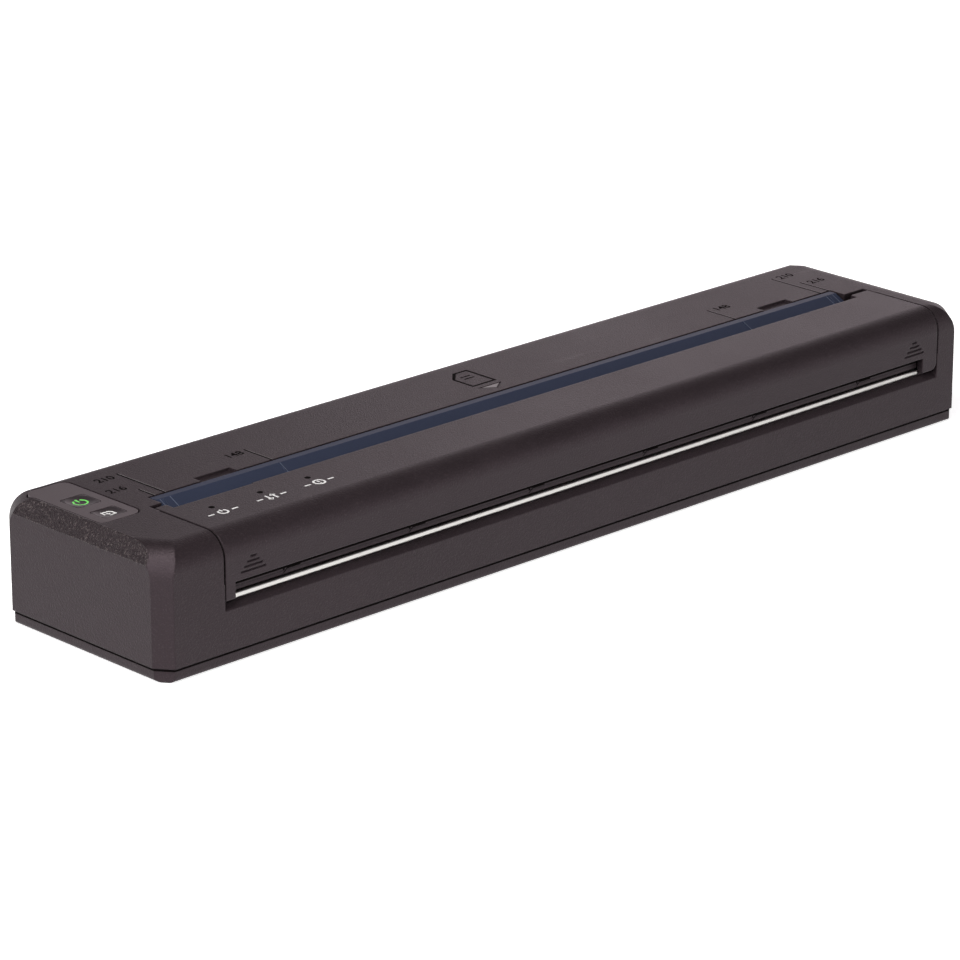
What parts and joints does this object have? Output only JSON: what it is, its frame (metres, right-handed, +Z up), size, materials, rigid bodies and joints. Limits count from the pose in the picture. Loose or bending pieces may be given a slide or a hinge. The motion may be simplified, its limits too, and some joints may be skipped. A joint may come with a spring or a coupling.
{
  "type": "portable A4 thermal printer",
  "caption": "Slim bar-shaped mobile printer with a top paper slot, a front exit slot with tear bar, and a long hinged release cover that carries the platen roller.",
  "frame": {"origin": "under the middle of the case, on the surface that the rubber feet stand on", "axes": "+X along the case from the button end to the gear end, +Y from the paper exit to the battery door, +Z up through the top"},
  "size_m": [0.255, 0.055, 0.03],
  "materials": {
    "body": "fine grained moulding, satin",
    "cover": "fine grained moulding, satin",
    "dark": "matt black moulding",
    "panel": "satin",
    "navy": "satin, slightly glossy",
    "clear": "clear moulded pins",
    "steel": "brushed",
    "alloy": "milled",
    "brass": "machined",
    "rubber": "matt",
    "gears": "acetal, satin",
    "ceramic": "glazed",
    "board": "lacquered",
    "film": "polyimide film",
    "label": "satin foil"
  },
  "bodies": {
    "base": {"lower_case": "body", "upper_case": "body", "cover_pins": "steel", "paper_guide": "navy", "tear_bar": "steel", "button_panel": "panel", "button_board": "board", "head_rod": "steel", "head_springs": "steel", "head_ribbon": "film", "gear_frame": "steel", "left_frame": "steel", "gear_posts": "steel", "gear_clips": "dark", "motor_can": "steel", "main_board": "board", "board_parts": "dark", "power_jack": "dark", "usb_socket": "steel", "paper_sensor": "dark", "battery_pack": "dark", "battery_terminals": "brass", "door_pins": "steel", "rubber_feet": "rubber", "case_screws": "steel", "frame_screws": "steel", "rating_label": "label"},
    "cover": {"release_cover": "cover", "cover_liner": "dark", "light_pipes": "clear", "status_board": "board", "platen_bushes": "gears"},
    "platen": {"platen_shaft": "steel", "platen_rubber": "rubber", "platen_gear": "gears"},
    "idler": {"idler_gear": "gears"},
    "reduction": {"reduction_gear": "gears"},
    "rotor": {"motor_rotor": "steel", "motor_pinion": "brass"},
    "head": {"head_heatsink": "alloy", "head_ceramic": "ceramic", "head_driver_cover": "dark"},
    "power_key": {"power_button": "body"},
    "feed_key": {"feed_button": "body"},
    "door": {"battery_door": "body"}
  },
  "joints": [
    {"name": "cover_hinge", "type": "hinge", "parent": "base", "child": "cover", "pos_m": [0, -0.0086, 0.0272], "axis": [-1, 0, 0], "range_deg": [0, 80]},
    {"name": "platen_spin", "type": "hinge", "parent": "cover", "child": "platen", "pos_m": [0, -0.0163, 0.0228], "axis": [1, 0, 0], "continuous": true},
    {"name": "idler_spin", "type": "hinge", "parent": "base", "child": "idler", "pos_m": [0, -0.01035, 0.01238], "axis": [1, 0, 0], "continuous": true},
    {"name": "reduction_spin", "type": "hinge", "parent": "base", "child": "reduction", "pos_m": [0, 0.00049, 0.01429], "axis": [1, 0, 0], "continuous": true},
    {"name": "motor_spin", "type": "hinge", "parent": "base", "child": "rotor", "pos_m": [0, 0.01249, 0.01429], "axis": [1, 0, 0], "continuous": true},
    {"name": "head_pivot", "type": "hinge", "parent": "base", "child": "head", "pos_m": [0, -0.00702, 0.01687], "axis": [1, 0, 0], "range_deg": [0, 2], "stiffness_Nm_per_rad": 0.2, "springref_deg": -8.59},
    {"name": "power_press", "type": "slide", "parent": "base", "child": "power_key", "axis": [0, 0, -1], "range_m": [0, 0.0005], "stiffness_N_per_m": 1000, "springref_m": -0.0003},
    {"name": "feed_press", "type": "slide", "parent": "base", "child": "feed_key", "axis": [0, 0, -1], "range_m": [0, 0.0005], "stiffness_N_per_m": 1000, "springref_m": -0.0003},
    {"name": "door_hinge", "type": "hinge", "parent": "base", "child": "door", "pos_m": [0, 0.0262, 0.0051], "axis": [-1, 0, 0], "range_deg": [0, 95]}
  ],
  "couplings": [
    {"joint": "idler_spin", "follows": "platen_spin", "ratio": -0.6},
    {"joint": "reduction_spin", "follows": "platen_spin", "ratio": 1.2857},
    {"joint": "motor_spin", "follows": "platen_spin", "ratio": -3.8571}
  ]
}
